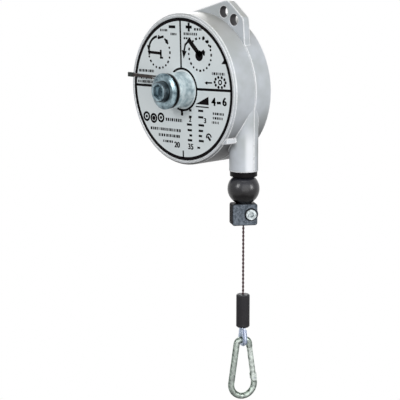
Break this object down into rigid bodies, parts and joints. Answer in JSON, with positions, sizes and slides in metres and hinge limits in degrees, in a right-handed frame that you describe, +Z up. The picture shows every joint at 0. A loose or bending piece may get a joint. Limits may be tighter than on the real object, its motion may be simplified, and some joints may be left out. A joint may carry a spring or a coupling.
{
  "type": "tool balancer",
  "caption": "Round spring balancer with a lug to hang it by, a retracting steel cable with stop ball and clamp, and a snap hook.",
  "frame": {"origin": "centre of the outer suspension hole, half way through the lug's thickness", "axes": "+Z up along the hanging cable; the labelled front with the adjuster faces -Y; +X towards the cable side"},
  "size_m": [0.19, 0.105, 0.5038],
  "materials": {
    "cast_aluminium": "silver-grey painted die casting",
    "label": "matt printed aluminium-coloured foil",
    "zinc_steel": "pale zinc plate",
    "steel": "ground steel",
    "drum_aluminium": "turned casting",
    "bronze": "sintered bronze",
    "spring_steel": "blued strip",
    "cable_steel": "oiled stranded wire",
    "black_plastic": "moulded black",
    "black_rubber": "glossy black rubber",
    "clamp_metal": "dark grey casting",
    "hook_steel": "greenish zinc plate"
  },
  "bodies": {
    "housing": {"front_housing": "cast_aluminium", "rear_housing": "cast_aluminium", "label_plate": "label", "housing_screws": "zinc_steel", "boss_collar": "zinc_steel", "cable_guide": "black_plastic", "pawl_pin": "steel", "pawl_spring": "spring_steel"},
    "drum": {"drum": "drum_aluminium", "drum_bush": "bronze", "spring_cover": "steel", "cable_wound": "cable_steel", "cable_anchor": "steel", "power_spring": "spring_steel"},
    "adjuster": {"arbor": "steel", "ratchet_wheel": "steel", "adjuster_cap": "zinc_steel"},
    "pawl": {"pawl_lever": "steel", "lever_grip": "black_plastic"},
    "load": {"cable_run": "cable_steel", "cable_tail": "cable_steel", "bumper_ball": "black_rubber", "clamp_front": "clamp_metal", "clamp_rear": "clamp_metal", "clamp_screw": "zinc_steel", "clamp_nut": "zinc_steel", "cable_sleeve": "black_rubber", "cable_ferrule": "drum_aluminium", "thimble": "zinc_steel", "cable_loop": "cable_steel"},
    "carabiner": {"carabiner_body": "hook_steel", "gate_pin": "steel"},
    "gate": {"carabiner_gate": "hook_steel", "gate_spring": "spring_steel"}
  },
  "joints": [
    {"name": "drum_spin", "type": "hinge", "parent": "housing", "child": "drum", "pos_m": [-0.057, -0.005, -0.088], "axis": [0, 1, 0], "range_deg": [0, 1527.8], "stiffness_Nm_per_rad": 0.0225, "springref_deg": -7637.53},
    {"name": "load_slide", "type": "slide", "parent": "housing", "child": "load", "axis": [0, 0, -1], "range_m": [0, 2], "deforming": ["cable_run"]},
    {"name": "adjuster_turn", "type": "hinge", "parent": "housing", "child": "adjuster", "pos_m": [-0.057, -0.005, -0.088], "axis": [0, -1, 0], "range_deg": [0, 1440]},
    {"name": "pawl_release", "type": "hinge", "parent": "housing", "child": "pawl", "pos_m": [-0.0698, -0.064, -0.0724], "axis": [0, -1, 0], "range_deg": [0, 14], "stiffness_Nm_per_rad": 0.05, "springref_deg": -17.19},
    {"name": "carabiner_swing", "type": "hinge", "parent": "load", "child": "carabiner", "pos_m": [0.018, -0.005, -0.4028], "axis": [0.3746, 0.9272, 0], "range_deg": [-75, 75]},
    {"name": "gate_open", "type": "hinge", "parent": "carabiner", "child": "gate", "pos_m": [0.02361, 0.00888, -0.4544], "axis": [0.9272, -0.3746, 0], "range_deg": [0, 13], "stiffness_Nm_per_rad": 0.05, "springref_deg": -22.92}
  ],
  "couplings": [
    {"joint": "load_slide", "follows": "drum_spin", "m_per_rad": 0.075}
  ]
}
